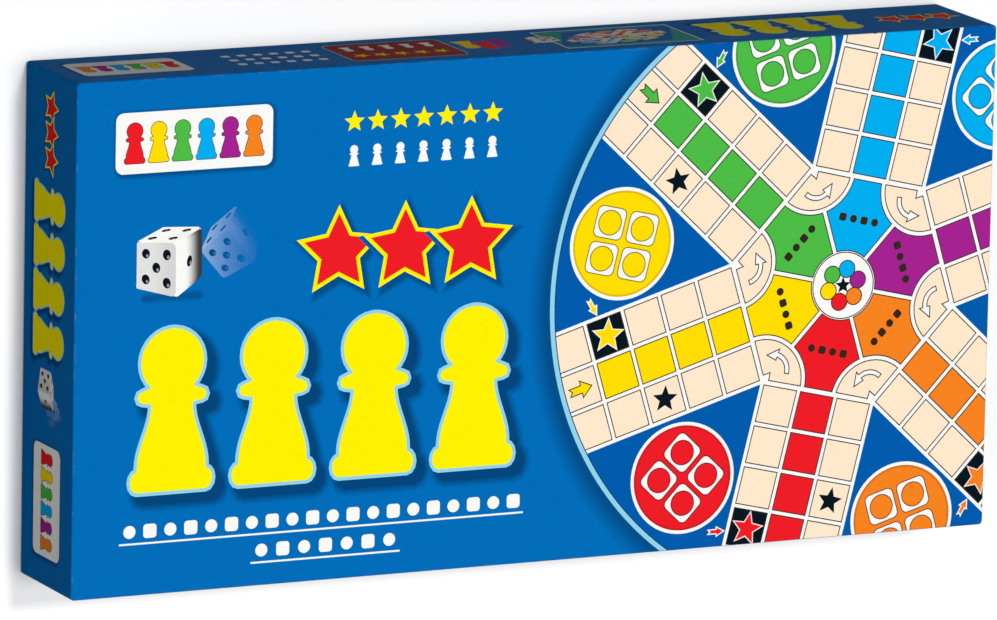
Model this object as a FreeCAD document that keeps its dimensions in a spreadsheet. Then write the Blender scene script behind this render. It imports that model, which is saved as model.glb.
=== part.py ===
import FreeCAD, Part
import math
import os

import Sketcher

# Ludo game box, lying flat with its lid up. Millimetres, origin at the middle of the base's underside.
# X runs along the long side, Y towards the top edge of the lid's print, Z up.

TOKEN_COLOURS = ["green", "cyan", "purple", "orange", "red", "yellow"]
CORNERS = [(-1, -1), (1, -1), (-1, 1), (1, 1)]
CELLS = len(TOKEN_COLOURS) + 1
CROSS_DIVIDERS = CELLS - 1

SIZES = {
    # closed box
    "box_length": 370,
    "box_depth": 190,
    "box_height": 48,
    "greyboard": 1.5,
    "wrap_paper": 0.2,
    "edge_round": 0.6,
    "corner_round": 1.2,
    "turn_in": 14,
    "lid_rim_gap": 0.8,
    "lid_play": 0.6,
    # paper tape round the corners of the greyboard
    "stay_leg": 18,
    "stay_paper": 0.2,
    "stay_margin": 3,
    # folding game board
    "leaf_core": 1.8,
    "leaf_paper": 0.2,
    "leaf_play": 0.8,
    "fold_gap": 0.2,
    "seat_gap": 0.2,
    # slotted card dividers
    "divider_card": 1,
    "divider_play": 0.15,
    "divider_headroom": 0.3,
    "divider_tail": 8,
    "lap_play": 0.1,
    # cone tokens
    "token_diameter": 14,
    "token_height": 28,
    "token_foot": 2,
    "token_step": 1,
    "token_tip_round": 2,
    "token_edge": 0.4,
    "token_gap": 5,
    # die
    "die_side": 15,
    "die_round": 1.6,
    "pip_round": 1.6,
    "pip_depth": 0.5,
    "pip_spread": 3.7,
    # rules leaflet, folded once
    "leaflet_length": 190,
    "leaflet_sheet": 0.2,
    "leaflet_gap": 0.2,
    "leaflet_play": 8,
}

# Sizes that follow from the ones above: each piece fits the next through a named clearance.
FITS = {
    "lid_height": "sizes.box_height - sizes.lid_rim_gap",
    "wrap_corner": "sizes.corner_round + sizes.wrap_paper",
    "wrap_edge": "sizes.edge_round + sizes.wrap_paper",
    "lid_core_length": "sizes.box_length - 2 * sizes.wrap_paper",
    "lid_core_depth": "sizes.box_depth - 2 * sizes.wrap_paper",
    "lid_core_height": "lid_height - 2 * sizes.wrap_paper",
    "lid_room_length": "lid_core_length - 2 * sizes.greyboard",
    "lid_room_depth": "lid_core_depth - 2 * sizes.greyboard",
    "lid_mouth_length": "lid_room_length - 2 * sizes.wrap_paper",
    "lid_mouth_depth": "lid_room_depth - 2 * sizes.wrap_paper",
    "lid_stay_length": "lid_core_length - 2 * sizes.stay_paper",
    "lid_stay_depth": "lid_core_depth - 2 * sizes.stay_paper",
    "leaf_length": "lid_mouth_length - 2 * sizes.leaf_play",
    "leaf_depth": "lid_mouth_depth - 2 * sizes.leaf_play",
    "leaf_thick": "sizes.leaf_core + 2 * sizes.leaf_paper",
    "lid_ceiling": "sizes.box_height - sizes.wrap_paper - sizes.greyboard",
    "base_height": "lid_ceiling - sizes.seat_gap - 2 * leaf_thick - sizes.fold_gap",
    "fold_axis": "base_height + leaf_thick + sizes.fold_gap / 2",
    "fold_radius": "sizes.fold_gap / 2 + sizes.leaf_paper",
    "base_wall_height": "base_height - sizes.wrap_paper",
    "base_length": "lid_mouth_length - 2 * sizes.lid_play",
    "base_depth": "lid_mouth_depth - 2 * sizes.lid_play",
    "base_core_length": "base_length - 2 * sizes.wrap_paper",
    "base_core_depth": "base_depth - 2 * sizes.wrap_paper",
    "base_core_height": "base_height - 2 * sizes.wrap_paper",
    "base_room_length": "base_core_length - 2 * sizes.greyboard",
    "base_room_depth": "base_core_depth - 2 * sizes.greyboard",
    "base_mouth_length": "base_room_length - 2 * sizes.wrap_paper",
    "base_mouth_depth": "base_room_depth - 2 * sizes.wrap_paper",
    "base_stay_length": "base_core_length - 2 * sizes.stay_paper",
    "base_stay_depth": "base_core_depth - 2 * sizes.stay_paper",
    "base_floor": "sizes.wrap_paper + sizes.greyboard",
    "stay_corner": "sizes.corner_round - sizes.stay_paper",
    "divider_height": "base_height - base_floor - sizes.divider_headroom",
    "lap_depth": "divider_height / 2 + sizes.lap_play",
    "lap_width": "sizes.divider_card + 2 * sizes.lap_play",
    "lap_reach": "2 * sizes.divider_card",
    "row_depth": "2 * sizes.token_diameter + 3 * sizes.token_gap",
    "row_front": "-base_room_depth / 2",
    "row_middle": "row_front + row_depth / 2",
    "long_divider_length": "base_mouth_length - 2 * sizes.divider_play",
    "long_divider_middle": "row_front + row_depth + sizes.divider_card / 2",
    "cell_pitch": f"(base_room_length + sizes.divider_card) / {CELLS}",
    "cell_width": "cell_pitch - sizes.divider_card",
    "first_divider": "cell_pitch - (base_room_length + sizes.divider_card) / 2",
    "first_cell": "first_divider - cell_pitch / 2",
    "cross_front": "sizes.divider_play - base_mouth_depth / 2",
    "cross_back": "long_divider_middle + sizes.divider_card / 2 + sizes.divider_tail",
    "cross_length": "cross_back - cross_front",
    "cross_middle": "(cross_back + cross_front) / 2",
    "leaflet_front": "cross_back + sizes.leaflet_play",
    "leaflet_depth": "base_mouth_depth / 2 - leaflet_front - sizes.leaflet_play",
    "leaflet_thick": "2 * sizes.leaflet_sheet + sizes.leaflet_gap",
    "token_radius": "sizes.token_diameter / 2",
    "token_cone_radius": "token_radius - sizes.token_step",
    "die_middle": "sizes.die_side / 2",
    "pip_centre": "die_middle + sizes.pip_round - sizes.pip_depth",
}

# Pip places on a die's face, in steps of the pip spread, and the six faces as axis, side and count.
PIP_PLACES = {
    1: [(0, 0)],
    2: [(-1, 1), (1, -1)],
    3: [(-1, 1), (0, 0), (1, -1)],
    4: [(-1, -1), (-1, 1), (1, -1), (1, 1)],
    5: [(-1, -1), (-1, 1), (0, 0), (1, -1), (1, 1)],
    6: [(-1, -1), (-1, 0), (-1, 1), (1, -1), (1, 0), (1, 1)],
}
DIE_FACES = [("z", 1, 5), ("z", -1, 2), ("y", -1, 4), ("y", 1, 3), ("x", 1, 1), ("x", -1, 6)]

SAME_PLACE = 1e-6

# Sketch geometry numbers of the origin and the vertical axis, and the points of a line or arc.
ORIGIN, Y_AXIS = range(-1, -3, -1)
START, END, CENTRE = range(1, 4)

doc = FreeCAD.newDocument("ludo_box")
sub_parts = []


def fill_sheet(name, cells):
    sheet = doc.addObject("Spreadsheet::Sheet", name)
    for row, (alias, content) in enumerate(cells.items(), start=1):
        sheet.set(f"A{row}", alias)
        sheet.set(f"B{row}", content)
        sheet.setAlias(f"B{row}", alias)
    doc.recompute()


def value(name):
    sheet, alias = name.split(".")
    return float(doc.getObject(sheet).get(alias))


def keep(part, label):
    part.Label = label
    sub_parts.append(part)


def place(part, **formulas):
    for axis, formula in formulas.items():
        part.setExpression(f"Placement.Base.{axis}", formula)


def turn(part, axis, degrees):
    part.Placement = FreeCAD.Placement(FreeCAD.Vector(), FreeCAD.Rotation(axis, degrees))


def new_body(name):
    return doc.addObject("PartDesign::Body", name)


def new_box(name, length, width, height):
    box = doc.addObject("Part::Box", name)
    box.setExpression("Length", length)
    box.setExpression("Width", width)
    box.setExpression("Height", height)
    return box


def new_sketch(body, name, plane="XY_Plane", **offsets):
    sketch = body.newObject("Sketcher::SketchObject", name)
    support = next(item for item in body.Origin.OriginFeatures if item.Role == plane)
    sketch.AttachmentSupport = [(support, "")]
    sketch.MapMode = "FlatFace"
    for axis, formula in offsets.items():
        sketch.setExpression(f"AttachmentOffset.Base.{axis}", formula)
    return sketch


def bind(sketch, formula, *constraint):
    index = sketch.addConstraint(Sketcher.Constraint(*constraint))
    sketch.setExpression(f"Constraints[{index}]", formula)


def tie(sketch, *constraint):
    sketch.addConstraint(Sketcher.Constraint(*constraint))


def add_rectangle(sketch, length, depth, radius=None):
    # closed outline about the sketch's origin, anticlockwise from the lower left, with round corners if asked
    half_x = value(length) / 2
    half_y = value(depth) / 2
    cut = value(radius) if radius else 0
    corners = [(1, -1), (1, 1), (-1, 1), (-1, -1)]
    lines = []
    arcs = []
    for quarter, (x, y) in enumerate(corners):
        last_x, last_y = corners[quarter - 1]
        step = FreeCAD.Vector(x - last_x, y - last_y, 0) * (cut / 2)
        start = FreeCAD.Vector(last_x * half_x, last_y * half_y, 0) + step
        end = FreeCAD.Vector(x * half_x, y * half_y, 0) - step
        lines.append(sketch.addGeometry(Part.LineSegment(start, end)))
        if radius:
            centre = FreeCAD.Vector(x * (half_x - cut), y * (half_y - cut), 0)
            circle = Part.Circle(centre, FreeCAD.Vector(0, 0, 1), cut)
            begin = (quarter - 1) * math.pi / 2
            arcs.append(sketch.addGeometry(Part.ArcOfCircle(circle, begin, begin + math.pi / 2)))
    for quarter, line in enumerate(lines):
        follower = lines[(quarter + 1) % len(lines)]
        tie(sketch, "Vertical" if quarter % 2 else "Horizontal", line)
        if radius:
            tie(sketch, "Tangent", line, END, arcs[quarter], START)
            tie(sketch, "Tangent", arcs[quarter], END, follower, START)
        else:
            tie(sketch, "Coincident", line, END, follower, START)
    for arc in arcs[1:]:
        tie(sketch, "Equal", arcs[0], arc)
    if radius:
        bind(sketch, radius, "Radius", arcs[0], cut)
    front, right, back, left = lines
    bind(sketch, f"{length} / 2", "DistanceX", ORIGIN, START, right, START, half_x)
    bind(sketch, f"{length} / 2", "DistanceX", left, START, ORIGIN, START, half_x)
    bind(sketch, f"{depth} / 2", "DistanceY", ORIGIN, START, back, START, half_y)
    bind(sketch, f"{depth} / 2", "DistanceY", front, START, ORIGIN, START, half_y)


def add_pad(body, sketch, name, length, down=False):
    pad = body.newObject("PartDesign::Pad", name)
    pad.Profile = sketch
    pad.Reversed = down
    pad.setExpression("Length", length)
    doc.recompute()


def add_pocket(body, sketch, name, depth, up=False):
    volume_before = body.Tip.Shape.Volume
    pocket = body.newObject("PartDesign::Pocket", name)
    pocket.Profile = sketch
    pocket.Reversed = up
    pocket.setExpression("Length", depth)
    doc.recompute()
    if pocket.Shape.Volume >= volume_before:
        raise RuntimeError(f"{name} cuts nothing")
    return pocket


def add_fillet(body, name, radius, chosen):
    rounded = body.Tip
    edges = [f"Edge{number}" for number, edge in enumerate(rounded.Shape.Edges, start=1) if chosen(edge)]
    fillet = body.newObject("PartDesign::Fillet", name)
    fillet.Base = (rounded, edges)
    fillet.setExpression("Radius", radius)
    doc.recompute()


def lies_at(height):
    return lambda edge: all(abs(vertex.Z - height) < SAME_PLACE for vertex in edge.Vertexes)


def is_ring(radius):
    def chosen(edge):
        start = edge.Vertexes[0]
        return len(edge.Vertexes) == 1 and abs(math.hypot(start.X, start.Y) - radius) < SAME_PLACE
    return chosen


def join(kind, name, base, tool):
    result = doc.addObject(kind, name)
    result.Base = base
    result.Tool = tool
    return result


# Greyboard tray with its floor at the bottom, open upwards.
def make_tray(side, creased):
    tray = new_body(f"{side}_tray")
    outside = new_sketch(tray, f"{side}_tray_outside")
    add_rectangle(outside, f"fits.{side}_core_length", f"fits.{side}_core_depth", "sizes.corner_round")
    add_pad(tray, outside, f"{side}_tray_block", f"fits.{side}_core_height")
    if creased:
        add_fillet(tray, f"{side}_tray_crease", "sizes.edge_round", lies_at(0))
    inside = new_sketch(tray, f"{side}_tray_inside", z=f"fits.{side}_core_height")
    add_rectangle(inside, f"fits.{side}_room_length", f"fits.{side}_room_depth")
    add_pocket(tray, inside, f"{side}_tray_room", f"fits.{side}_core_height - sizes.greyboard")
    return tray


# Paper tape let into the four outer corners of a tray.
def make_stays(side):
    band = new_body(f"{side}_stay_band")
    outline = new_sketch(band, f"{side}_stay_outline", z="sizes.stay_margin")
    add_rectangle(outline, f"fits.{side}_core_length", f"fits.{side}_core_depth", "sizes.corner_round")
    add_rectangle(outline, f"fits.{side}_stay_length", f"fits.{side}_stay_depth", "fits.stay_corner")
    add_pad(band, outline, f"{side}_stay_pad", f"fits.{side}_core_height - 2 * sizes.stay_margin")
    blocks = []
    for number, (x, y) in enumerate(CORNERS, start=1):
        block = new_box(f"{side}_stay_block_{number}", "sizes.stay_leg", "sizes.stay_leg",
                        f"fits.{side}_core_height")
        place(block,
              x=f"{x} * (fits.{side}_core_length - sizes.stay_leg) / 2 - sizes.stay_leg / 2",
              y=f"{y} * (fits.{side}_core_depth - sizes.stay_leg) / 2 - sizes.stay_leg / 2")
        blocks.append(block)
    corners = doc.addObject("Part::MultiFuse", f"{side}_stay_corners")
    corners.Shapes = blocks
    return join("Part::Common", f"{side}_stays", band, corners)


# Paper folded round a tray's rim and a little way down its inner walls.
def add_turn_in(wrap, side, height):
    rim = new_sketch(wrap, f"{side}_wrap_rim_outline", z=f"{height} - sizes.wrap_paper")
    add_rectangle(rim, f"fits.{side}_core_length", f"fits.{side}_core_depth", "sizes.corner_round")
    add_rectangle(rim, f"fits.{side}_mouth_length", f"fits.{side}_mouth_depth")
    add_pad(wrap, rim, f"{side}_wrap_rim", "sizes.wrap_paper")
    flap = new_sketch(wrap, f"{side}_wrap_flap_outline", z=height)
    add_rectangle(flap, f"fits.{side}_room_length", f"fits.{side}_room_depth")
    add_rectangle(flap, f"fits.{side}_mouth_length", f"fits.{side}_mouth_depth")
    add_pad(wrap, flap, f"{side}_wrap_flap", "sizes.turn_in", down=True)


# The lid's printed wrap covers its top and walls. It is drawn upside down, like its tray.
def make_lid_wrap():
    wrap = new_body("lid_wrap_sheet")
    outside = new_sketch(wrap, "lid_wrap_outside")
    add_rectangle(outside, "sizes.box_length", "sizes.box_depth", "fits.wrap_corner")
    add_pad(wrap, outside, "lid_wrap_block", "fits.lid_height")
    inside = new_sketch(wrap, "lid_wrap_inside", z="fits.lid_height")
    add_rectangle(inside, "fits.lid_core_length", "fits.lid_core_depth", "sizes.corner_round")
    add_pocket(wrap, inside, "lid_wrap_room", "fits.lid_height - sizes.wrap_paper")
    add_fillet(wrap, "lid_wrap_crease", "sizes.edge_round", lies_at(value("sizes.wrap_paper")))
    add_fillet(wrap, "lid_wrap_edge", "fits.wrap_edge", lies_at(0))
    add_turn_in(wrap, "lid", "fits.lid_height")
    return wrap


def make_lid():
    tray = make_tray("lid", creased=True)
    stays = make_stays("lid")
    wrap = make_lid_wrap()
    for part in (tray, stays, wrap):
        turn(part, FreeCAD.Vector(1, 0, 0), 180)
    place(tray, z="sizes.box_height - sizes.wrap_paper")
    place(stays, z="sizes.box_height - sizes.wrap_paper")
    place(wrap, z="sizes.box_height")
    keep(join("Part::Cut", "lid_board_cut", tray, stays), "lid_board")
    keep(stays, "lid_corner_stays")
    keep(wrap, "lid_wrap")


# The base's wrap is a band round its walls, and a plain sheet closes the underside.
def make_base():
    tray = make_tray("base", creased=False)
    stays = make_stays("base")
    wrap = new_body("base_wrap_band")
    outside = new_sketch(wrap, "base_wrap_outside")
    add_rectangle(outside, "fits.base_length", "fits.base_depth", "fits.wrap_corner")
    add_rectangle(outside, "fits.base_core_length", "fits.base_core_depth", "sizes.corner_round")
    add_pad(wrap, outside, "base_wrap_walls", "fits.base_wall_height")
    add_turn_in(wrap, "base", "fits.base_wall_height")
    for part in (tray, stays, wrap):
        place(part, z="sizes.wrap_paper")
    sheet = new_body("base_bottom")
    outline = new_sketch(sheet, "base_bottom_outline")
    add_rectangle(outline, "fits.base_length", "fits.base_depth", "fits.wrap_corner")
    add_pad(sheet, outline, "base_bottom_pad", "sizes.wrap_paper")
    keep(join("Part::Cut", "base_board_cut", tray, stays), "base_board")
    keep(stays, "base_corner_stays")
    keep(wrap, "base_wrap")
    keep(sheet, "base_sheet")


# The long divider is slotted from above and each cross divider from below, half their height each.
def make_long_divider():
    divider = new_body("long_divider_card")
    outline = new_sketch(divider, "long_divider_outline")
    add_rectangle(outline, "fits.long_divider_length", "sizes.divider_card")
    add_pad(divider, outline, "long_divider_strip", "fits.divider_height")
    slot = new_sketch(divider, "long_divider_slot", x="fits.first_divider", z="fits.divider_height")
    add_rectangle(slot, "fits.lap_width", "fits.lap_reach")
    first_slot = add_pocket(divider, slot, "long_divider_first_slot", "fits.lap_depth")
    slots = divider.newObject("PartDesign::LinearPattern", "long_divider_slots")
    slots.Originals = [first_slot]
    slots.Direction = (slot, ["H_Axis"])
    slots.Occurrences = CROSS_DIVIDERS
    slots.setExpression("Length", f"{CROSS_DIVIDERS - 1} * fits.cell_pitch")
    divider.Tip = slots
    place(divider, y="fits.long_divider_middle", z="fits.base_floor")
    keep(divider, "long_divider")


def make_cross_divider(number):
    name = f"cross_divider_{number}"
    divider = new_body(f"{name}_card")
    outline = new_sketch(divider, f"{name}_outline")
    add_rectangle(outline, "sizes.divider_card", "fits.cross_length")
    add_pad(divider, outline, f"{name}_strip", "fits.divider_height")
    slot = new_sketch(divider, f"{name}_slot", y="fits.long_divider_middle - fits.cross_middle")
    add_rectangle(slot, "fits.lap_reach", "fits.lap_width")
    add_pocket(divider, slot, f"{name}_lap", "fits.lap_depth", up=True)
    place(divider,
          x=f"fits.first_divider + {number - 1} * fits.cell_pitch",
          y="fits.cross_middle",
          z="fits.base_floor")
    keep(divider, name)


# A leaf is a greyboard panel between a back sheet and a printed face sheet. The faces meet when folded.
def make_leaves():
    lower_layers = [("back", "sizes.leaf_paper"), ("panel", "sizes.leaf_core"), ("face", "sizes.leaf_paper")]
    below = "fits.base_height"
    for leaf, layers in (("lower", lower_layers), ("upper", lower_layers[::-1])):
        for layer, thick in layers:
            sheet = new_box(f"leaf_{layer}_{leaf}", "fits.leaf_length", "fits.leaf_depth", thick)
            place(sheet, x="-fits.leaf_length / 2", y="-fits.leaf_depth / 2", z=below)
            keep(sheet, f"board_{layer}_{leaf}")
            below = f"{below} + {thick}"
        below = f"{below} + sizes.fold_gap"


# Strip of the printed sheet that bends round the fold and joins the two leaves. Its axis is the fold's.
def make_fold():
    bend = doc.addObject("Part::Cylinder", "fold_outside")
    bend.setExpression("Radius", "fits.fold_radius")
    bend.setExpression("Height", "fits.leaf_length")
    bend.Angle = 180
    hollow = doc.addObject("Part::Cylinder", "fold_inside")
    hollow.setExpression("Radius", "sizes.fold_gap / 2")
    hollow.setExpression("Height", "fits.leaf_length")
    fold = join("Part::Cut", "fold_cut", bend, hollow)
    turn(fold, FreeCAD.Vector(0, 1, 0), 90)
    place(fold, x="-fits.leaf_length / 2", y="fits.leaf_depth / 2", z="fits.fold_axis")
    keep(fold, "board_fold")


# Cone token with a stepped foot and a round tip.
def make_token(label, cell, corner):
    radius = value("fits.token_radius")
    cone = value("fits.token_cone_radius")
    height = value("sizes.token_height")
    foot = value("sizes.token_foot")
    tip = value("sizes.token_tip_round")
    token = new_body(f"{label}_body")
    profile = new_sketch(token, f"{label}_profile", plane="XZ_Plane")
    middle = FreeCAD.Vector(0, height - tip, 0)
    shoulder = FreeCAD.Vector(cone, foot, 0)
    to_middle = middle - shoulder
    reach = math.sqrt(to_middle.Length ** 2 - tip ** 2)
    heading = math.atan2(to_middle.y, to_middle.x) - math.asin(tip / to_middle.Length)
    touch = shoulder + FreeCAD.Vector(math.cos(heading), math.sin(heading), 0) * reach
    corners = [FreeCAD.Vector(0, 0, 0), FreeCAD.Vector(radius, 0, 0), FreeCAD.Vector(radius, foot, 0),
               shoulder, touch]
    under, rim, step, slope = [profile.addGeometry(Part.LineSegment(start, end))
                               for start, end in zip(corners, corners[1:])]
    circle = Part.Circle(middle, FreeCAD.Vector(0, 0, 1), tip)
    top = profile.addGeometry(Part.ArcOfCircle(circle, heading - math.pi / 2, math.pi / 2))
    axis = profile.addGeometry(Part.LineSegment(FreeCAD.Vector(0, height, 0), corners[0]))
    for first, second in ((under, rim), (rim, step), (step, slope), (top, axis), (axis, under)):
        tie(profile, "Coincident", first, END, second, START)
    tie(profile, "Tangent", slope, END, top, START)
    tie(profile, "Coincident", under, START, ORIGIN, START)
    tie(profile, "Horizontal", under)
    tie(profile, "Horizontal", step)
    tie(profile, "Vertical", rim)
    tie(profile, "Vertical", axis)
    tie(profile, "PointOnObject", top, CENTRE, Y_AXIS)
    bind(profile, "sizes.token_tip_round", "Radius", top, tip)
    bind(profile, "fits.token_radius", "DistanceX", ORIGIN, START, rim, START, radius)
    bind(profile, "fits.token_cone_radius", "DistanceX", ORIGIN, START, slope, START, cone)
    bind(profile, "sizes.token_foot", "DistanceY", rim, START, rim, END, foot)
    bind(profile, "sizes.token_height", "DistanceY", ORIGIN, START, axis, START, height)
    turned = token.newObject("PartDesign::Revolution", f"{label}_turned")
    turned.Profile = profile
    turned.ReferenceAxis = (profile, ["V_Axis"])
    turned.Angle = 360
    doc.recompute()
    add_fillet(token, f"{label}_edge", "sizes.token_edge", is_ring(radius))
    x, y = corner
    place(token,
          x=f"fits.first_cell + {cell} * fits.cell_pitch + {x} * fits.cell_width / 4",
          y=f"fits.row_middle + {y} * fits.row_depth / 4",
          z="fits.base_floor")
    keep(token, label)


# Cube with rounded edges and a round dimple for each pip. Opposite faces add up to seven.
def make_die():
    cube = new_body("die_cube")
    outline = new_sketch(cube, "die_outline", z="-fits.die_middle")
    add_rectangle(outline, "sizes.die_side", "sizes.die_side")
    add_pad(cube, outline, "die_block", "sizes.die_side")
    add_fillet(cube, "die_edges", "sizes.die_round", lambda edge: True)
    pips = []
    for axis, side, count in DIE_FACES:
        first, second = [other for other in "xyz" if other != axis]
        for along, across in PIP_PLACES[count]:
            pip = doc.addObject("Part::Sphere", f"die_pip_{count}")
            pip.setExpression("Radius", "sizes.pip_round")
            place(pip, **{axis: f"{side} * fits.pip_centre",
                          first: f"{along} * sizes.pip_spread",
                          second: f"{across} * sizes.pip_spread"})
            pips.append(pip)
    dimples = doc.addObject("Part::Compound", "die_dimples")
    dimples.Links = pips
    die = join("Part::Cut", "die_cut", cube, dimples)
    place(die,
          x=f"fits.first_cell + {CELLS - 1} * fits.cell_pitch",
          y="fits.row_middle",
          z="fits.base_floor + fits.die_middle")
    keep(die, "die")


# One sheet folded once, with the fold towards the token cells.
def make_leaflet():
    block = new_box("leaflet_block", "sizes.leaflet_length", "fits.leaflet_depth", "fits.leaflet_thick")
    gap = new_box("leaflet_fold_gap", "sizes.leaflet_length", "fits.leaflet_depth", "sizes.leaflet_gap")
    place(gap, y="sizes.leaflet_sheet", z="sizes.leaflet_sheet")
    leaflet = join("Part::Cut", "leaflet_cut", block, gap)
    place(leaflet, x="-sizes.leaflet_length / 2", y="fits.leaflet_front", z="fits.base_floor")
    keep(leaflet, "rules_leaflet")


def check_document():
    doc.recompute()
    for item in doc.Objects:
        if {"Invalid", "Error"} & set(item.State):
            raise RuntimeError(f"{item.Label} failed: {item.State}")
    for part in sub_parts:
        if part.Shape.isNull() or not part.Shape.isValid():
            raise RuntimeError(f"{part.Label} has no valid shape")


fill_sheet("sizes", {alias: str(number) for alias, number in SIZES.items()})
fill_sheet("fits", {alias: f"={formula}" for alias, formula in FITS.items()})
make_lid()
make_base()
make_long_divider()
for divider_number in range(1, CROSS_DIVIDERS + 1):
    make_cross_divider(divider_number)
make_leaves()
make_fold()
for cell_number, colour in enumerate(TOKEN_COLOURS):
    for token_number, token_corner in enumerate(CORNERS, start=1):
        make_token(f"token_{colour}_{token_number}", cell_number, token_corner)
make_die()
make_leaflet()
check_document()

os.makedirs("parts", exist_ok=True)
for part in sub_parts:
    part.Shape.exportStep(f"parts/{part.Label}.step")
    print(part.Label, len(part.Shape.Solids), round(part.Shape.Volume, 1))
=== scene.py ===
import math

import bmesh
import bpy
from mathutils import Matrix, Vector
from mathutils.geometry import delaunay_2d_cdt


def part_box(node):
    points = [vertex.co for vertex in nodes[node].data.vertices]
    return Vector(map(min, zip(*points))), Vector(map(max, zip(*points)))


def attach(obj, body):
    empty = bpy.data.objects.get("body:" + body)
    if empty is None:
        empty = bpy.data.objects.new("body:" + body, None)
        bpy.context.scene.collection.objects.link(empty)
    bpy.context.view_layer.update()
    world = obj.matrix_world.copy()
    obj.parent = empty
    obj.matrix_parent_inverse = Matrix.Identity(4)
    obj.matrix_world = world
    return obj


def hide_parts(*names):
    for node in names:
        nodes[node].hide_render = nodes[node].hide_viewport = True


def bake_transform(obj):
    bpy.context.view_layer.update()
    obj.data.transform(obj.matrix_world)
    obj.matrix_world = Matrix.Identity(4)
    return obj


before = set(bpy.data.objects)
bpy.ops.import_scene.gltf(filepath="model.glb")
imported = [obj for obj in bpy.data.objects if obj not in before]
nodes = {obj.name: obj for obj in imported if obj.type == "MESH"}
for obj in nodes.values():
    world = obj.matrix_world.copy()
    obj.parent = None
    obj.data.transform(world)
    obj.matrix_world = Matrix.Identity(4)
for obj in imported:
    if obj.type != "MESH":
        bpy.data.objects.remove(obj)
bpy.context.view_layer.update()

mm = 0.001
scene = bpy.context.scene
# signs of a rectangle's four corners, anticlockwise
quarters = ((1, 1), (-1, 1), (-1, -1), (1, -1))

# printing inks of lid, board and leaflet
inks = {
    "blue": "#006CB8", "deepBlue": "#005AAB", "navy": "#03305C", "paleBlue": "#93D2E8",
    "ghostBlue": "#98B7E3", "white": "#F8F8F5", "paper": "#EFEBE0", "grey": "#B4B6B8",
    "black": "#07161F", "line": "#33281F", "peach": "#FEE7CA", "lemon": "#FFF000",
    "maroon": "#8C1F17", "teal": "#2E9C93", "green": "#4CBB45", "cyan": "#00ADEE",
    "purple": "#A3228F", "orange": "#F6821F", "red": "#ED1C26", "yellow": "#FFDC00",
}


def hexToLinear(code):
    channels = [int(code[i:i + 2], 16) / 255 for i in (1, 3, 5)]
    return [c / 12.92 if c <= 0.04045 else ((c + 0.055) / 1.055) ** 2.4 for c in channels] + [1.0]


def between(first, second, share):
    return [a + (b - a) * share for a, b in zip(first, second)]


def ink(name, other=None, share=0.0):
    return between(hexToLinear(inks[name]), hexToLinear(inks[other or name]), share)


# flat outlines, anticlockwise, in millimetres and degrees

def arc(x, y, radius, start, end, steps, tall=None):
    # both ends included; tall is the upright radius where it differs
    turns = [math.radians(start + (end - start) * i / steps) for i in range(steps + 1)]
    return [(x + radius * math.cos(a), y + (tall or radius) * math.sin(a)) for a in turns]


def disc(x, y, radius, steps=36):
    return arc(x, y, radius, 0, 360, steps)[:-1]


def slab(x, y, width, height, corner=None, steps=5):
    # sharp corners are single points, round ones arcs
    points, r = [], corner or 0.0
    for number, (sx, sy) in enumerate(quarters):
        spot, start = (x + sx * (width / 2 - r), y + sy * (height / 2 - r)), 90 * number
        points += [spot] if corner is None else arc(*spot, r, start, start + 90, steps)
    return points


def star(x, y, radius, waist=0.44):
    tips, dents = arc(x, y, radius, 90, 450, 10), arc(x, y, radius * waist, 90, 450, 10)
    return [(dents if i % 2 else tips)[i] for i in range(10)]


def arrow(length, width, neckShare=0.05, notchShare=0.38, shaftShare=0.22):
    # head, shaft and a notched tail
    neck, notch, half, shaft = length * neckShare, length * notchShare, width / 2, width * shaftShare
    return [(-length / 2, -shaft), (neck, -shaft), (neck, -half), (length / 2, 0), (neck, half),
            (neck, shaft), (-length / 2, shaft), (-notch, 0)]


def bentArrow(radius, width, start, end, headLong=2.9, headWide=1.4, steps=12):
    # part of a ring with a head at its far end
    tip, out = math.degrees(headLong * width / radius), headWide * width
    head = [arc(0, 0, r, end, end + more, 1)[1]
            for r, more in ((radius + out, 0), (radius, tip), (radius - out, 0))]
    return (arc(0, 0, radius + width / 2, start, end, steps) + head
            + arc(0, 0, radius - width / 2, end, start, steps))


# playing piece one high: three arcs, and its body's waist, flare, bottom and height
pawnShape = {
    "foot": (0.225, 0.065, 0.045, -90, 90, 6, 0.065), "body": (0.135, 0.09, 0.15, 0.39),
    "collar": (0.195, 0.585, 0.03, -90, 90, 4, 0.035), "head": (0, 0.795, 0.205, -48, 84, 11),
}


def pawn(x, y, height, steps=10):
    waist, flare, bottom, tall = pawnShape["body"]
    side = arc(*pawnShape["foot"])
    side += [(waist + flare * (0.5 + 0.5 * math.cos(math.pi * i / steps)), bottom + tall * i / steps)
             for i in range(steps + 1)]
    side += arc(*pawnShape["collar"]) + arc(*pawnShape["head"])
    whole = side + [(0, 1)] + [(-w, h) for w, h in reversed(side)]
    return [(x + w * height, y + h * height) for w, h in whole]


def turned(points, degrees=0.0, x=0.0, y=0.0, scale=1.0):
    c, s = math.cos(math.radians(degrees)) * scale, math.sin(math.radians(degrees)) * scale
    return [(x + c * px - s * py, y + s * px + c * py) for px, py in points]


def grown(points, amount, tipLimit=0.3):
    # moves an outline outward, or inward if negative, with its sharp tips cut short
    result = []
    for before, here, after in zip(points[-1:] + points, points, points[1:] + points[:1]):
        a = (Vector(here) - Vector(before)).normalized()
        b = (Vector(after) - Vector(here)).normalized()
        if a.length == 0 or b.length == 0:
            continue
        away = Vector((a.y + b.y, -a.x - b.x)) / max(1 + a.dot(b), tipLimit)
        result.append((here[0] + away.x * amount, here[1] + away.y * amount))
    return result


def sidesOf(points):
    return zip(points, points[1:] + points[:1])


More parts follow.
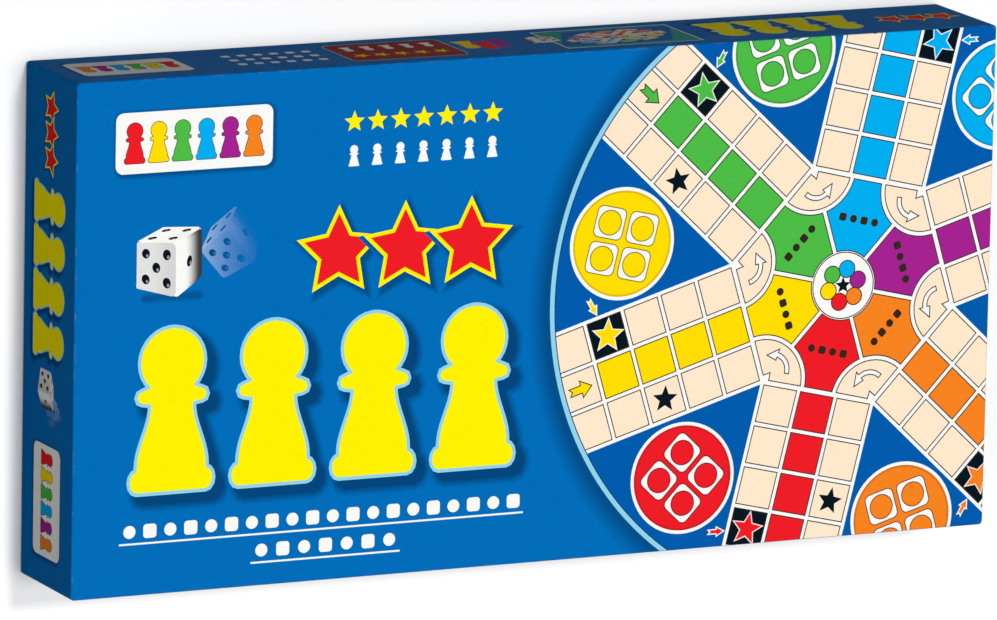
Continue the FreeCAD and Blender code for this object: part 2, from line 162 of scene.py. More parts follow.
def clipped(points, region):
    # keeps what lies inside a convex region
    for a, b in sidesOf(region):
        sides = [(b[0] - a[0]) * (p[1] - a[1]) - (b[1] - a[1]) * (p[0] - a[0]) for p in points]
        kept = []
        for i, here in enumerate(points):
            last, before, now = points[i - 1], sides[i - 1], sides[i]
            if (before < 0) != (now < 0):
                kept.append(tuple(between(last, here, before / (before - now))))
            if now >= 0:
                kept.append(here)
        points = kept
        if not points:
            break
    return points


def row(count, first, pitch):
    return [first + i * pitch for i in range(count)]


def placed(shapes, degrees=0.0, x=0.0, y=0.0, scale=1.0):
    return [(turned(points, degrees, x, y, scale), colour) for points, colour in shapes]


def painted(region, shapes, creases=(), leastArea=1e-3, reach=1e-4):
    # cuts a region along every outline; each triangle takes the ink printed last over it
    outlines, colours = [region], [None]
    for points, colour in shapes:
        area = sum(a[0] * b[1] - a[1] * b[0] for a, b in sidesOf(points))
        if len(points) > 2 and abs(area) > leastArea:
            outlines.append(points if area > 0 else points[::-1])
            colours.append(colour)
    corners, loops, lines = [], [], []
    for points in outlines:
        loops.append(list(range(len(corners), len(corners) + len(points))))
        corners += [Vector(p) for p in points]
    for ends in creases:
        lines.append((len(corners), len(corners) + 1))
        corners += [Vector(p) for p in ends]
    cut = delaunay_2d_cdt(corners, lines, loops, 1, reach)
    spots, triangles, fromLoops = cut[0], cut[2], cut[5]
    return [([spots[i] for i in triangle], colours[max(covers)])
            for triangle, covers in zip(triangles, fromLoops) if 0 in covers]


def band(first, second):
    # quads between two closed loops; each ends at its own number
    return [[first[i - 1], first[i], second[i], second[i - 1]] for i in range(len(first))]


def addObject(name, data):
    made = bpy.data.objects.new(name, data)
    scene.collection.objects.link(made)
    return made


def buildPiece(name, faces, material, body, replaced, smooth=None, weld=2e-7, least=1e-8):
    # faces are corners in millimetres with an ink; welded corners make the piece closed
    made = bmesh.new()
    layer = made.loops.layers.float_color.new("ink")
    for corners, colour in faces:
        face = made.faces.new([made.verts.new(Vector(c) * mm) for c in corners])
        for loop in face.loops:
            loop[layer] = colour
    bmesh.ops.remove_doubles(made, verts=made.verts, dist=weld)
    bmesh.ops.dissolve_degenerate(made, dist=least, edges=made.edges)
    bmesh.ops.recalc_face_normals(made, faces=made.faces)
    mesh = bpy.data.meshes.new(name)
    made.to_mesh(mesh)
    made.free()
    mesh.materials.append(material)
    if smooth:
        mesh.shade_smooth()
        mesh.set_sharp_from_angle(angle=math.radians(smooth))
    piece = addObject(name, mesh)
    if body:
        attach(piece, body)
    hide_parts(replaced)
    return piece


def addNode(tree, kind, inputs=None, **settings):
    made = tree.nodes.new("ShaderNode" + kind)
    for name, setting in settings.items():
        setattr(made, name, setting)
    for key, given in (inputs or {}).items():
        if isinstance(given, bpy.types.NodeSocket):
            tree.links.new(given, made.inputs[key])
        else:
            made.inputs[key].default_value = hexToLinear(given) if isinstance(given, str) else given
    return made


def compute(tree, operation, *given, kind="Math", **settings):
    return addNode(tree, kind, dict(enumerate(given)), operation=operation, **settings).outputs[0]


def mixColour(tree, share, first, second, way="MIX"):
    inputs = {0: share, 6: first, 7: second}
    return addNode(tree, "Mix", inputs, data_type="RGBA", blend_type=way).outputs[2]


def remap(tree, given, source=(0.0, 1.0), target=(0.0, 1.0)):
    ends = {"From Min": source[0], "From Max": source[1], "To Min": target[0], "To Max": target[1]}
    return addNode(tree, "MapRange", {"Value": given, **ends}).outputs["Result"]


def noise(tree, spot, size, detail, rough=0.5, bend=0.0):
    # size in millimetres
    grain = {"Detail": detail, "Roughness": rough, "Distortion": bend}
    return addNode(tree, "TexNoise", {"Vector": spot, "Scale": 1 / (size * mm), **grain}).outputs["Fac"]


def newMaterial(name, sockets):
    material = bpy.data.materials.new(name)
    material.use_nodes = True
    tree = material.node_tree
    tree.nodes.clear()
    shader = addNode(tree, "BsdfPrincipled", sockets)
    addNode(tree, "OutputMaterial", {"Surface": shader.outputs["BSDF"]})
    return material, tree, shader, addNode(tree, "TexCoord").outputs


def dress(tree, shader, colour, rough, height, relief):
    # relief is the bump's strength and its depth in millimetres
    strength, depth = relief
    bump = addNode(tree, "Bump", {"Strength": strength, "Distance": depth * mm, "Height": height})
    for socket, given in (("Base Color", colour), ("Roughness", rough), ("Normal", bump.outputs[0])):
        tree.links.new(given, shader.inputs[socket])


# most of a noise's values lie in here
noiseSpan = (0.3, 0.7)

# Offset print on art paper under matt polypropylene film, glued to greyboard: even full inks with
# hardly any sheen, a faint swell from the board below, and pale paper where edges and corners rub
printLook = {
    "filmIor": 1.49, "filmGloss": 0.008, "rough": (0.50, 0.62), "relief": (0.25, 0.02),
    "grain": (0.9, 3.0), "grainTone": (0.96, 1.02), "swell": (9.0, 1.0), "swellShare": 3.0,
    "rubWidth": 0.9, "rub": (6.0, 4.0, 0.7), "rubSpan": (0.52, 0.72), "rubbed": "#DAD7CE",
}


def printedPaper(name, low, high, rub):
    look = printLook
    sockets = {"IOR": look["filmIor"], "Specular IOR Level": look["filmGloss"]}
    material, tree, shader, place = newMaterial(name, sockets)
    spot = place["Object"]
    printed = addNode(tree, "Attribute", attribute_name="ink").outputs["Color"]
    # paper fibres under the ink, coarser than their real 0.1 mm so that they show
    grain = noise(tree, spot, *look["grain"])
    swell = noise(tree, spot, *look["swell"])
    tone = remap(tree, grain, noiseSpan, look["grainTone"])
    toned = mixColour(tree, 1.0, printed, tone, "MULTIPLY")
    # distance to the nearest edge is the middle one of the distances to the sides
    fromMiddle = compute(tree, "SUBTRACT", spot, (low + high) / 2, kind="VectorMath")
    size = compute(tree, "ABSOLUTE", fromMiddle, kind="VectorMath")
    depth = compute(tree, "SUBTRACT", (high - low) / 2, size, kind="VectorMath")
    x, y, z = addNode(tree, "SeparateXYZ", {0: depth}).outputs
    inner = compute(tree, "MINIMUM", compute(tree, "MAXIMUM", x, y), z)
    edge = compute(tree, "MAXIMUM", compute(tree, "MINIMUM", x, y), inner)
    near = remap(tree, edge, (0.0, look["rubWidth"] * mm), (1.0, 0.0))
    patches = noise(tree, spot, *look["rub"])
    worn = compute(tree, "MULTIPLY", near, remap(tree, patches, look["rubSpan"], (0.0, rub)))
    colour = mixColour(tree, worn, toned, look["rubbed"])
    rough = remap(tree, patches, noiseSpan, look["rough"])
    height = compute(tree, "MULTIPLY_ADD", swell, look["swellShare"], grain)
    dress(tree, shader, colour, rough, height, look["relief"])
    return material


# base, dark and pale colour, size of fibres and specks, roughness, bump, colour of the cut edge
boardLook = {
    # Recycled greyboard, pressed from waste paper: dull grey-brown with darker and paler fibres
    "greyboardPressed": ("#A59E92", "#6F695F", "#C9C4B8", 1.6, 2.4, 0.88, 0.05, None),
    # Kraft gummed tape: brown, ribbed by its long fibres
    "kraftTapeGummed": ("#B89468", "#94734A", "#CBAA80", 1.1, 5.0, 0.72, 0.03, None),
    # Dyed wrapping paper: one flat colour with a fine tooth
    "dyedPaperMatt": ("#0B5A9C", "#084C86", "#1B69A9", 0.8, 3.0, 0.62, 0.02, None),
    # White-lined chipboard: a white face over a grey core that shows on each cut edge
    "chipboardWhiteLined": ("#E6E1D6", "#D2CBBD", "#F1EEE6", 1.0, 3.4, 0.70, 0.03, "#9B9488"),
}
fibreLook = {
    "ior": 1.5, "stretch": (0.35, 1.0, 1.0), "grain": (5.0, 0.65), "span": (0.35, 0.65),
    "speckSpan": (0.06, 0.16), "speckShade": 0.8, "edgeTurn": 0.7, "roughSpread": 0.08, "relief": 0.5,
}


def fibreBoard(name, base, dark, pale, fibreSize, speckSize, roughness, bump, cutEdge):
    look = fibreLook
    material, tree, shader, place = newMaterial(name, {"IOR": look["ior"]})
    spot = place["Object"]
    # fibres stretched along the board's length, coarser than life so that they show
    drawn = addNode(tree, "Mapping", {"Vector": spot, "Scale": look["stretch"]}).outputs[0]
    fibre = noise(tree, drawn, fibreSize, *look["grain"])
    body = mixColour(tree, remap(tree, fibre, look["span"]), base, pale)
    speck = addNode(tree, "TexVoronoi", {"Vector": spot, "Scale": 1 / (speckSize * mm)})
    fleck = remap(tree, speck.outputs["Distance"], look["speckSpan"], (look["speckShade"], 0.0))
    colour = mixColour(tree, fleck, body, dark)
    if cutEdge:
        x, y, z = addNode(tree, "SeparateXYZ", {0: place["Normal"]}).outputs
        isEdge = compute(tree, "GREATER_THAN", compute(tree, "ABSOLUTE", z), look["edgeTurn"])
        colour = mixColour(tree, isEdge, colour, cutEdge)
    spread = look["roughSpread"]
    rough = remap(tree, fibre, target=(roughness - spread, roughness + spread))
    dress(tree, shader, colour, rough, fibre, (look["relief"], bump))
    return material


carried = {
    "greyboardPressed": ["lid_board", "base_board", "board_panel_lower", "board_panel_upper"],
    "kraftTapeGummed": ["lid_corner_stays", "base_corner_stays"],
    "dyedPaperMatt": ["base_wrap", "base_sheet", "board_back_lower", "board_back_upper"],
    "chipboardWhiteLined": [name for name in nodes if "divider" in name],
}
for materialName, members in carried.items():
    cardMaterial = fibreBoard(materialName, *boardLook[materialName])
    for member in members:
        nodes[member].data.materials.clear()
        nodes[member].data.materials.append(cardMaterial)
print("card and paper:", sum(len(members) for members in carried.values()), "carried pieces")


# playing field: six arms of three lanes about a hub
trackLook = {
    "arms": {16: "purple", 76: "cyan", 136: "green", 196: "yellow", 256: "red", 316: "orange"},
    "armLength": 140, "pitch": 15.9, "cell": 13.8, "line": 0.42, "border": 0.7, "reach": 119.7,
    "rows": (5, 49.6), "arrowRow": 4, "laneArrow": (8.6, 5.8),
    "starRow": 3, "startStar": 6.1, "startLine": 0.2, "safeRow": {"cyan": 3}, "safeStar": 5.4,
    "gap": 1.1, "bow": 17.0, "notch": (3.5, 1.7), "bend": (6.3, 1.35, 121, 204), "bendShift": -5.4,
    "yardOut": 95.4, "yardRadius": 21.5, "yardRim": 1.3, "yardEdge": 2.1, "rimShade": 0.3,
    "seat": 11.6, "seatCorner": 2.1, "seatPitch": 13.8, "seatShade": 0.75, "dot": 4.5,
    "yardArrow": ((5.8, 2.9), (104, 100.4, -28.4)),
    "hub": 12.5, "hubStar": 3.4, "rosette": (6.4, 3.1), "marks": (4, 25.5, 4.6, 3.0, 0.7),
}


def raceTrack(look):
    pitch, line, gap, half = look["pitch"], look["line"], look["gap"], look["seatPitch"] / 2
    rim = disc(0, 0, look["reach"], 160)
    elbow = 3 * pitch  # where the sides of two arms meet
    shapes = []

    def add(points, colour, outlined=None, other=None, share=0.0):
        # the outline's ink may be mixed with another
        outline = grown(points, line) if outlined else []
        paints = (outline, outlined and ink(outlined, other, share)), (points, ink(colour))
        shapes.extend((clipped(drawn, rim), paint) for drawn, paint in paints)

    for angle in look["arms"]:
        length, width = look["armLength"], 3 * pitch + 2 * look["border"]
        add(turned(slab(length / 2, 0, length, width), angle), "white")
    for angle, colour in look["arms"].items():
        for number, out in enumerate(row(*look["rows"], pitch)):
            for column in (-1, 0, 1):
                isStart = number == look["starRow"] and column == -1
                isLane = column == 0 and number < look["arrowRow"]
                paint = "black" if isStart else colour if isLane else "peach"
                square = slab(out, column * pitch, look["cell"], look["cell"])
                add(turned(square, angle), paint, "line")
                middle = turned([(out, column * pitch)], angle)[0]
                if isStart:
                    mark = turned(star(0, 0, look["startStar"]), angle + 90, *middle)
                    add(mark, colour, "white", colour, look["startLine"])
                if number == look["safeRow"].get(colour, 2) and column == 1:
                    add(turned(star(0, 0, look["safeStar"]), angle + 90, *middle), "black")
                if number == look["arrowRow"] and column == 0:
                    add(turned(arrow(*look["laneArrow"]), angle + 180, *middle), colour, "line")
        # corner cell and home field between this arm and the last
        side, radius = angle - 30, look["bow"]
        hinge = turned([(elbow, 0)], side)[0]
        cell = grown([(0, 0)] + arc(0, 0, radius, 120, 240, 15), -gap)
        tip, (depth, wide) = cell[0][0], look["notch"]
        cell[:1] = [(tip - wide / 2, -wide), (tip - depth, 0), (tip - wide / 2, wide)]
        upper = arc(elbow * math.cos(math.pi / 6), elbow / 2, radius, 270, 210, 10)
        hubSide = arc(0, 0, look["hub"], 30, -30, 10)
        home = upper + hubSide + [(px, -py) for px, py in reversed(upper)]
        add(turned(grown(home, -gap), angle), colour, "line")
        count, out, apart, size, corner = look["marks"]
        for i, y in enumerate(row(count, (1 - count) / 2 * apart, apart)):
            mark = slab(out, y, size, size, corner, 2) if i % 2 else disc(out, y, size / 2, 16)
            add(turned(mark, angle), "line")
        add(turned(cell, side, *hinge), "peach", "line")
        bend = turned(bentArrow(*look["bend"]), 0, look["bendShift"], 0)
        add(turned(bend, side, *hinge), "white", "line")
        # yard with four seats, and the arrow that leads from it
        yard = turned([(look["yardOut"], 0)], side)[0]
        add(disc(*yard, look["yardRadius"], 60), "white")
        yardRim = clipped(disc(*yard, look["yardRadius"] - look["yardRim"], 60), rim)
        shapes.append((yardRim, ink(colour, "black", look["rimShade"])))
        add(disc(*yard, look["yardRadius"] - look["yardEdge"], 60), colour)
        for sx, sy in quarters:
            seat = slab(sx * half, sy * half, look["seat"], look["seat"], look["seatCorner"])
            add(turned(seat, side, *yard), "white", colour, "black", look["seatShade"])
            dot = turned([(sx * half, sy * half)], side, *yard)[0]
            add(disc(*dot, look["dot"], 24), colour, colour, "black", look["seatShade"])
        size, spot = look["yardArrow"]
        add(turned(turned(arrow(*size), *spot), angle), colour, "white")
    # rosette of the six colours in the hub
    add(disc(0, 0, look["hub"], 48), "white", "line")
    for angle, colour in look["arms"].items():
        out, radius = look["rosette"]
        add(disc(*turned([(out, 0)], angle)[0], radius, 20), colour, "line")
    add(star(0, 0, look["hubStar"]), "black")
    return shapes


track = raceTrack(trackLook)
print("playing field:", len(track), "printed shapes")


# pips of a die in steps from the middle of its side, for the printed dice and the real one
pipPlaces = {
    1: [(0, 0)], 2: [(-1, 1), (1, -1)], 3: [(-1, 1), (0, 0), (1, -1)],
    4: [(-1, -1), (-1, 1), (1, -1), (1, 1)], 5: [(-1, -1), (-1, 1), (0, 0), (1, -1), (1, 1)],
    6: [(-1, -1), (-1, 0), (-1, 1), (1, -1), (1, 0), (1, 1)],
}

# printed die in perspective, in shares of its size: outline and the corner where its sides meet;
# each side has its corners' numbers, its pips, and how dark it gets from left to right
dieDrawing = {
    "corners": [(-0.49, -0.33), (0.11, -0.50), (0.49, -0.23), (0.48, 0.47), (-0.10, 0.50),
                (-0.49, 0.32), (0.10, 0.28)],
    "sides": [((0, 1, 6, 5), 5, 0.20, 0.30), ((5, 6, 3, 4), 4, 0.00, 0.05),
              ((1, 2, 3, 6), 1, 0.00, 0.96)],
    "body": 0.95, "side": 0.97, "corner": 0.11, "narrow": 0.45, "dusk": (0.34, 0.56),
    "pipPitch": 0.26, "pip": 0.1, "shine": 0.035, "shineShift": (0.035, -0.04), "shineShare": 0.3,
}
ghostLook = {"inks": ("ghostBlue", "blue", "navy"), "tilt": 40, "steps": 5, "spread": 1.24}
whiteDie = ("white", "black", "black")

# motifs, in shares of their height or radius, and the plate in millimetres
pawnLook = {"rim": 0.022, "away": 0.05, "fade": 0.05, "dark": 0.75, "inks": ("paleBlue", "lemon")}
starLook = {"rim": 0.1, "away": 0.1, "fade": 0.12, "dark": 0.6, "inks": ("lemon", "red"), "waist": 0.5}
plateLook = {"corner": 3, "shadow": (0.5, -0.5, 1.6, 0.6, 4), "line": 0.25,
             "pawns": ("red", "yellow", "green", "cyan", "purple", "orange"),
             "tall": (0.66, 0.25), "pitch": 0.152}


def softShadow(points, x, y, width, dark, steps):
    # print shadow that fades outward into the blue in a few even tints
    shifted = turned(points, 0, x, y)
    return [(grown(shifted, width * (1 - i / steps)), ink("blue", "navy", dark * (i + 1) / steps))
            for i in range(steps)]


def diePicture(x, y, size, colours, tilt=0.0, steps=14):
    look, (light, dark, pips) = dieDrawing, colours
    corners, full, pitch = look["corners"], look["side"], look["pipPitch"]
    duskStart, duskWidth = look["dusk"]
    shapes = [(turned(corners[:6], tilt, x, y, size * look["body"]), ink(light))]
    for numbers, count, least, most in look["sides"]:
        a, b, c, d = [corners[n] for n in numbers]

        def at(points):
            spots = [between(between(a, b, s), between(d, c, s), t) for s, t in points]
            return turned(spots, tilt, x, y, size)
        for i in range(steps):
            width = full * (1 - i / steps)
            dusk = min(max((width - duskStart) / duskWidth, 0.0), 1.0)
            tint = ink(light, dark, least + (most - least) * dusk * dusk * (3 - 2 * dusk))
            corner = min(look["corner"], width * look["narrow"])
            shapes.append((at(slab((1 - full + width) / 2, 0.5, width, full, corner, 4)), tint))
        for px, py in pipPlaces[count]:
            px, py = 0.5 + px * pitch, 0.5 + py * pitch
            shineX, shineY = look["shineShift"]
            shine = disc(px + shineX, py + shineY, look["shine"], 8)
            shapes += [(at(disc(px, py, look["pip"], 16)), ink(pips)),
                       (at(shine), ink(pips, light, look["shineShare"]))]
    return shapes


def ghostDie(x, y, size, strips):
    # pale tilted die in upright strips that fade into the blue
    look, shapes = ghostLook, []
    wide = size * look["spread"] / strips
    for i in range(strips):
        strip = slab(x + wide * (i + 0.5 - strips / 2), y, wide, size * 2)
        share = 1 - (1 - i / strips) ** 2
        for points, colour in diePicture(x, y, size, look["inks"], look["tilt"], look["steps"]):
            shapes.append((clipped(points, strip), between(colour, ink("blue"), share)))
    return shapes


def pawnPlate(x, y, width, height):
    # white plate with a row of playing pieces
    look = plateLook
    plate = slab(x, y, width, height, look["corner"])
    shapes = softShadow(plate, *look["shadow"]) + [(plate, ink("white"))]
    tall = min(height * look["tall"][0], width * look["tall"][1])
    for i, colour in enumerate(look["pawns"]):
        middle = x + (i - (len(look["pawns"]) - 1) / 2) * width * look["pitch"]
        piece = pawn(middle, y - tall / 2, tall, 6)
        shapes += [(grown(piece, look["line"]), ink("line")), (piece, ink(colour))]
    return shapes


def rimmed(outlines, size, look, steps):
    # outlined motifs with a soft shadow to the lower right
    away, fade, shapes = size * look["away"], size * look["fade"], []
    for points in outlines:
        outline = grown(points, size * look["rim"])
        shapes += softShadow(outline, away, -away, fade, look["dark"], steps)
        shapes += [(shape, ink(name)) for shape, name in zip((outline, points), look["inks"])]
    return shapes


def titlePrint(look):
    # a row of stars and a row of playing pieces
    *places, level, radius, steps = look["stars"]
    stars = [star(x, level, radius, starLook["waist"]) for x in row(*places)]
    *places, foot, height, pawnSteps = look["pawns"]
    pawns = [pawn(x, foot, height) for x in row(*places)]
    return rimmed(stars, radius, starLook, steps) + rimmed(pawns, height, pawnLook, pawnSteps)


def starsAndPawns(places, stars, pawns):
    # two small rows, one over the other; each has its level, its size and its ink
    shapes = []
    for x in row(*places):
        shapes += [(star(x, *stars[:2]), ink(stars[2])), (pawn(x, *pawns[:2], 5), ink(pawns[2]))]
    return shapes


# lid: the printed sheet is drawn flat, then folded round the box
lidLook = {
    "edgeRound": 0.8, "cornerRound": 1.4, "paper": 0.2, "rimWidth": 1.9, "turnIn": 14.0,
    "edgeSteps": 4, "cornerSteps": 5, "printGap": 1.8, "rub": 0.14,
}
lidLow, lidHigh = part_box("lid_wrap")
halfX, halfY = lidHigh.x / mm, lidHigh.y / mm
lidRim, lidTop = lidLow.z / mm, lidHigh.z / mm
edgeRound, cornerRound = lidLook["edgeRound"], lidLook["cornerRound"]
edgeArc = edgeRound * math.pi / 2
flatX, flatY = halfX - edgeRound, halfY - edgeRound
flapLength = edgeArc + lidTop - edgeRound - lidRim
sideMiddle = edgeArc + (flapLength - edgeArc) / 2

# rows have their count, first place and pitch, then their level, size and shadow's steps or ink
faceLook = {
    "hub": (123.8, 0.5), "ring": 120.0, "ringShadow": (-1.6, -0.4, 7.0, 0.6, 8),
    "fieldScale": 0.984, "fieldTurn": 0.6, "fieldLine": 0.5,
    "plate": (-139.0, 71.8, 61.5, 22.4),
    "small": ((7, -76.0, 9.2), (74.4, 4.2, "lemon"), (58.0, 7.8, "white")),
    "stars": (3, -81.4, 26.4, 26.6, 14.4, 6), "pawns": (4, -146.4, 40.0, -57.0, 60.0, 8),
    "dieBase": (-147.0, 14.6, 22, 1.0, 0.4), "dieShadow": (0, 0, 1.6, 0.5, 6),
    "ghost": (-123.4, 32.2, 22.0, 18), "die": (-148.2, 27.2, 26.6, whiteDie, 0, 24),
    "ruled": ((-166.5, -5.5, -71.2), (-114.5, -55.0, -81.8)), "marks": (8.0, 5.2, 1.2, 2.4),
    "rule": (4.5, 0.7),
}
longSideLook = {
    "stars": (3, -174.0, 10.4, 0.0, 6.0, 4), "pawns": (4, -131.0, 15.6, -13.5, 27.0, 4),
    "picture": (-40, 0, 54, 33), "pictureRim": 0.6, "pictureBoard": 262, "lean": (0.17, 0.044, 0.103),
    "die": (-10.5, -3, 13, whiteDie),
    "loose": {"purple": -9, "red": -6, "yellow": -9}, "looseRow": (3, 7.0, 6.4), "looseHeight": 15,
    "badgeRim": (49.5, 0, 46.7, 32.7, 3.6), "badge": (49.5, 0, 45.5, 31.5, 3),
    "small": ((5, 33.5, 8), (6, 3.6, "yellow"), (-11, 8, "white")),
    "dotRow": (6, 81.5, 6.4), "dotLevels": (8, 0, -8), "dot": (3.4, 3.4, 0.8, 2),
    "plate": (155, 0, 43, 25),
}
shortSideLook = {
    "stars": (3, -82.0, 9.5, 0.5, 5.6, 4), "pawns": (4, -46.0, 16.4, -14.0, 28.0, 4),
    "ghost": (30, 5, 12, 5), "die": (22, -2, 15, whiteDie), "plate": (63.2, 0, 41.5, 24.5),
}


def facePrint():
    look = faceLook
    (x, y), scale = look["hub"], look["fieldScale"]
    reach = trackLook["reach"] * scale
    shapes = softShadow(disc(x, y, look["ring"], 160), *look["ringShadow"])
    edge = reach + trackLook["line"], ink("deepBlue", "black", look["fieldLine"])
    for radius, paint in ((look["ring"], ink("paleBlue")), edge, (reach, ink("deepBlue"))):
        shapes.append((disc(x, y, radius, 200), paint))
    shapes += placed(track, look["fieldTurn"], x, y, scale) + pawnPlate(*look["plate"])
    shapes += starsAndPawns(*look["small"]) + titlePrint(look)
    shapes += softShadow(slab(*look["dieBase"]), *look["dieShadow"])
    shapes += ghostDie(*look["ghost"]) + diePicture(*look["die"])
    # underlined rows of dots and squares
    apart, size, corner, dot = look["marks"]
    down, thick = look["rule"]
    for left, right, level in look["ruled"]:
        count = int((right - left) / apart)
        for i in range(count):
            x = left + (right - left) * (i + 0.5) / count
            mark = slab(x, level, size, size, corner, 3) if i % 2 else disc(x, level, dot, 20)
            shapes.append((mark, ink("white")))
        shapes.append((slab((left + right) / 2, level - down, right - left, thick), ink("white")))
    return shapes


def longSidePrint():
    # along the wall from its middle, up towards the lid's edge
    look = longSideLook
    shapes = titlePrint(look)
    # small picture of the open board, drawn as it lies on a table
    picture, board = slab(*look["picture"]), look["pictureBoard"]
    shapes += [(grown(picture, look["pictureRim"]), ink("white")), (picture, ink("teal"))]
    small = [(slab(0, 0, board, board), ink("blue")), (disc(0, 0, trackLook["reach"], 60), ink("deepBlue"))]
    small += [(points, colour) for points, colour in track if colour != ink("line")]
    across, slant, up = look["lean"]
    for points, colour in small:
        leaned = [(look["picture"][0] + px * across + py * slant, py * up) for px, py in points]
        shapes.append((clipped(leaned, picture), colour))
    shapes += diePicture(*look["die"])
    for x, (colour, level) in zip(row(*look["looseRow"]), look["loose"].items()):
        shapes.append((pawn(x, level, look["looseHeight"], 6), ink(colour)))
    shapes += [(slab(*look["badgeRim"]), ink("paleBlue")), (slab(*look["badge"]), ink("maroon"))]
    shapes += starsAndPawns(*look["small"])
    shapes += [(slab(x, level, *look["dot"]), ink("white"))
               for level in look["dotLevels"] for x in row(*look["dotRow"])]
    return shapes + pawnPlate(*look["plate"])


def shortSidePrint():
    look = shortSideLook
    dice = ghostDie(*look["ghost"]) + diePicture(*look["die"])
    return titlePrint(look) + dice + pawnPlate(*look["plate"])


def outlineLoop(inset, z, radius):
    # the lid's outline moved in, from the right-hand side's upper end
    around = slab(0, 0, 2 * (halfX - inset), 2 * (halfY - inset), radius, lidLook["cornerSteps"])
    return [(x, y, z) for x, y in around]


def foldDown(x, y):
    # where a point of the flat sheet lies once its sides are folded down
    r, overX, overY = edgeRound, abs(x) - flatX, abs(y) - flatY
    over = max(overX, overY, 0.0)
    turn = min(over / r, math.pi / 2)
    out, down = r * math.sin(turn), r * (1 - math.cos(turn)) + max(over - edgeArc, 0.0)
    if over and overX > overY:
        x = math.copysign(flatX + out, x)
    elif over:
        y = math.copysign(flatY + out, y)
    return (x, y, lidTop - down)


def lidSheet(levels):
    # the face with its four flaps, and the lines along which it bends
    span = lidLook["cornerSteps"] + 1
    flatLoop = [(x, y) for x, y, z in outlineLoop(edgeRound, 0, cornerRound - edgeRound)]
    sheet, creases = [], []
    for number, (nx, ny) in enumerate(((0, 1), (-1, 0), (0, -1), (1, 0))):
        corner = flatLoop[number * span:(number + 1) * span]
        start, end = corner[-1], flatLoop[(number + 1) * span % len(flatLoop)]
        going, coming = [[(x + nx * e, y + ny * e) for e in levels + [flapLength]] for x, y in (start, end)]
        sheet += corner + going[1:] + coming[:0:-1]
        creases += list(zip(going[:-1], coming[:-1]))
    return sheet, creases


def lidPrint():
    # the face's print ends half way round the edge, and short of the corners' rounding
    cut, gap = edgeArc / 2, lidLook["printGap"]
    faceClip = []
    for sx, sy in quarters:
        ends = [(sx * (flatX + cut), sy * (flatY - gap)), (sx * (flatX - gap), sy * (flatY + cut))]
        faceClip += ends if sx == sy else ends[::-1]
    shapes = [(clipped(points, faceClip), colour) for points, colour in facePrint()]
    longSide, shortSide = longSidePrint(), shortSidePrint()
    shapes += placed(longSide, 0, 0, -flatY - sideMiddle)
    shapes += placed(longSide, 180, 0, flatY + sideMiddle)
    shapes += placed(shortSide, 90, flatX + sideMiddle, 0)
    return shapes + placed(shortSide, 270, -flatX - sideMiddle, 0)


def makeLid():
    look, blue, paper = lidLook, ink("blue"), ink("paper")
    steps, rows = look["cornerSteps"], look["edgeSteps"]
    r, corner, thick, rim = edgeRound, cornerRound, look["paper"], look["rimWidth"]
    levels = [edgeArc * i / rows for i in range(rows + 1)]
    sheet, creases = lidSheet(levels)
    faces = [([foldDown(*p) for p in corners], colour or blue)
             for corners, colour in painted(sheet, lidPrint(), creases)]

    # corners, rim, turn-in and the paper's back, as loops round the lid
    def edgeLoop(radius, a):
        out, up = radius * math.sin(a), radius * math.cos(a)
        return outlineLoop(r - out, lidTop - r + up, corner - r + out)
    loops = [edgeLoop(r, e / r) for e in levels] + [outlineLoop(0, lidRim, corner)]
    printed = len(loops) - 1
    turnedIn = lidRim + look["turnIn"]
    loops += [outlineLoop(inset, z, radius) for inset, z, radius in (
        (rim, lidRim, 0), (rim, turnedIn, 0), (rim - thick, turnedIn, 0),
        (rim - thick, lidRim + thick, 0), (thick, lidRim + thick, corner - thick))]
    loops += [edgeLoop(r - thick, a) for a in (math.pi / 2, math.pi / 4, 0)]
    for number, (first, second) in enumerate(zip(loops, loops[1:])):
        shade = paper if number > printed + 1 else blue
        # the straight walls are there already, with their print
        faces += [(quad, shade) for i, quad in enumerate(band(first, second))
                  if i % (steps + 1) or number >= printed]
    faces.append((loops[-1], paper))
    material = printedPaper("artPaperOffsetFilm", lidLow, lidHigh, look["rub"])
    return buildPiece("lid_print_sheet", faces, material, "lid", "lid_wrap")


print("lid:", len(makeLid().data.polygons), "faces")


# folding board: one print across both leaves, larger than the lid's picture of it
fieldLook = {"scale": 1.42, "ring": 122.0, "margin": 7.0, "marginCorner": 6, "frame": 3.0,
             "frameCorner": 5, "paper": 0.2, "foldSteps": 8, "rub": 0.1}
fieldLow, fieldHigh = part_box("board_face_lower")
fieldWidth, fieldDepth = (fieldHigh.x - fieldLow.x) / mm, (fieldHigh.y - fieldLow.y) / mm


def fieldPrint():
    look = fieldLook
    wide, tall = fieldWidth - look["margin"], 2 * fieldDepth - look["margin"]
    inside = (wide - look["frame"], tall - look["frame"], look["frameCorner"])
    shapes = [(slab(0, 0, wide, tall, look["marginCorner"]), ink("paleBlue")),
              (slab(0, 0, *inside), ink("blue")),
              (disc(0, 0, look["ring"] * look["scale"], 160), ink("paleBlue")),
              (disc(0, 0, trackLook["reach"] * look["scale"], 160), ink("deepBlue"))]
    return shapes + placed(track, 0, 0, 0, look["scale"])


